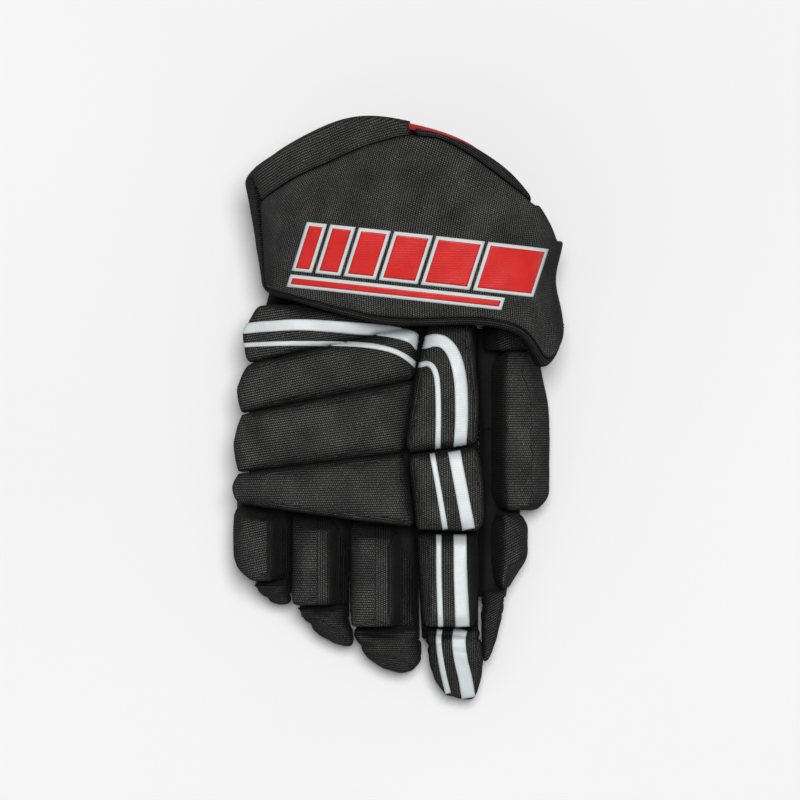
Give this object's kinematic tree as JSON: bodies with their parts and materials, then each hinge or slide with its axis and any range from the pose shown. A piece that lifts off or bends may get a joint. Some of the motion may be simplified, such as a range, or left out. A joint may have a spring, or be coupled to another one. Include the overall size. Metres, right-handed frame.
{
  "type": "ice hockey glove",
  "caption": "Padded right-hand ice hockey glove with fan-shaped back rolls, jointed fingers and thumb, and a flared hinged cuff.",
  "frame": {"origin": "middle of the wrist line, on the plane that the palm patch rests on", "axes": "+X to the thumb side, +Y to the cuff, +Z out of the back of the hand"},
  "size_m": [0.199, 0.35, 0.1079],
  "materials": {
    "knit": "ribbed black polyester knit",
    "fingertip_knit": "fine ribbed black knit",
    "gusset_mesh": "black stretch mesh",
    "palm_leather": "black synthetic suede",
    "liner": "brushed tricot",
    "cuff_lining": "brushed tricot",
    "foam": "closed-cell foam",
    "stiffener_plastic": "moulded polyethylene",
    "stripe_film": "satin transfer film",
    "emblem_film": "satin transfer film",
    "binding": "woven tape"
  },
  "bodies": {
    "hand": {"palm_sheet": "palm_leather", "palm_patch": "palm_leather", "back_liner": "liner", "ulnar_gusset": "gusset_mesh", "radial_gusset": "gusset_mesh", "thumb_saddle": "gusset_mesh", "back_roll_1_cover": "knit", "back_roll_2_cover": "knit", "back_roll_3_cover": "knit", "back_roll_4_cover": "knit", "back_roll_foams": "foam", "knuckle_pad_upper_cover": "knit", "knuckle_pad_lower_cover": "knit", "knuckle_foams": "foam", "back_stripes": "stripe_film", "knuckle_stripes": "stripe_film"},
    "little_base": {"little_pad_cover": "knit", "little_pad_foam": "foam", "little_sleeve": "palm_leather"},
    "little_tip": {"little_tip_cover": "fingertip_knit", "little_tip_sleeve": "palm_leather"},
    "ring_base": {"ring_pad_cover": "knit", "ring_pad_foam": "foam", "ring_sleeve": "palm_leather"},
    "ring_tip": {"ring_tip_cover": "fingertip_knit", "ring_tip_sleeve": "palm_leather"},
    "middle_base": {"middle_pad_cover": "knit", "middle_pad_foam": "foam", "middle_sleeve": "palm_leather"},
    "middle_tip": {"middle_tip_cover": "fingertip_knit", "middle_tip_sleeve": "palm_leather"},
    "index_base": {"index_pad_cover": "knit", "index_pad_foam": "foam", "index_sleeve": "palm_leather", "index_pad_stripes": "stripe_film"},
    "index_tip": {"index_tip_cover": "fingertip_knit", "index_tip_sleeve": "palm_leather", "index_tip_stripes": "stripe_film"},
    "thumb_base": {"thumb_pad_cover": "knit", "thumb_pad_foam": "foam", "thumb_sleeve": "palm_leather"},
    "thumb_tip": {"thumb_distal_cover": "knit", "thumb_distal_foam": "foam", "thumb_stiffener": "stiffener_plastic", "thumb_tip_cap": "fingertip_knit", "thumb_tip_sleeve": "palm_leather"},
    "cuff": {"cuff_main_cover": "knit", "cuff_main_foam": "foam", "cuff_stiffener": "stiffener_plastic", "cuff_rim_cover": "knit", "cuff_left_panel": "knit", "cuff_right_panel": "knit", "cuff_palm_panel": "palm_leather", "cuff_liner": "cuff_lining", "cuff_hem": "knit", "mouth_binding": "binding", "cuff_emblem": "emblem_film"}
  },
  "joints": [
    {"name": "wrist_flex", "type": "hinge", "parent": "hand", "child": "cuff", "pos_m": [0, 0.005, 0.045], "axis": [1, 0, 0], "range_deg": [-20, 20]},
    {"name": "little_knuckle", "type": "hinge", "parent": "hand", "child": "little_base", "pos_m": [-0.0832, -0.115, 0.0005], "axis": [1, 0, 0], "range_deg": [0, 75]},
    {"name": "little_middle_joint", "type": "hinge", "parent": "little_base", "child": "little_tip", "pos_m": [-0.0832, -0.1575, 0.0005], "axis": [1, 0, 0], "range_deg": [0, 80]},
    {"name": "ring_knuckle", "type": "hinge", "parent": "hand", "child": "ring_base", "pos_m": [-0.048, -0.12, 0.0005], "axis": [1, 0, 0], "range_deg": [0, 75]},
    {"name": "ring_middle_joint", "type": "hinge", "parent": "ring_base", "child": "ring_tip", "pos_m": [-0.048, -0.172, 0.0005], "axis": [1, 0, 0], "range_deg": [0, 80]},
    {"name": "middle_knuckle", "type": "hinge", "parent": "hand", "child": "middle_base", "pos_m": [-0.0105, -0.125, 0.0005], "axis": [1, 0, 0], "range_deg": [0, 75]},
    {"name": "middle_middle_joint", "type": "hinge", "parent": "middle_base", "child": "middle_tip", "pos_m": [-0.0105, -0.185, 0.0005], "axis": [1, 0, 0], "range_deg": [0, 80]},
    {"name": "index_knuckle", "type": "hinge", "parent": "hand", "child": "index_base", "pos_m": [0.0305, -0.128, 0.0005], "axis": [1, 0, 0], "range_deg": [0, 75]},
    {"name": "index_middle_joint", "type": "hinge", "parent": "index_base", "child": "index_tip", "pos_m": [0.0305, -0.1848, 0.0005], "axis": [1, 0, 0], "range_deg": [0, 80]},
    {"name": "thumb_swing", "type": "hinge", "parent": "hand", "child": "thumb_base", "pos_m": [0.066, -0.021, 0.0005], "axis": [0.95, 0, 0.3122], "range_deg": [0, 40]},
    {"name": "thumb_bend", "type": "hinge", "parent": "thumb_base", "child": "thumb_tip", "pos_m": [0.062, -0.115, 0.0005], "axis": [1, 0, 0], "range_deg": [0, 55]}
  ]
}
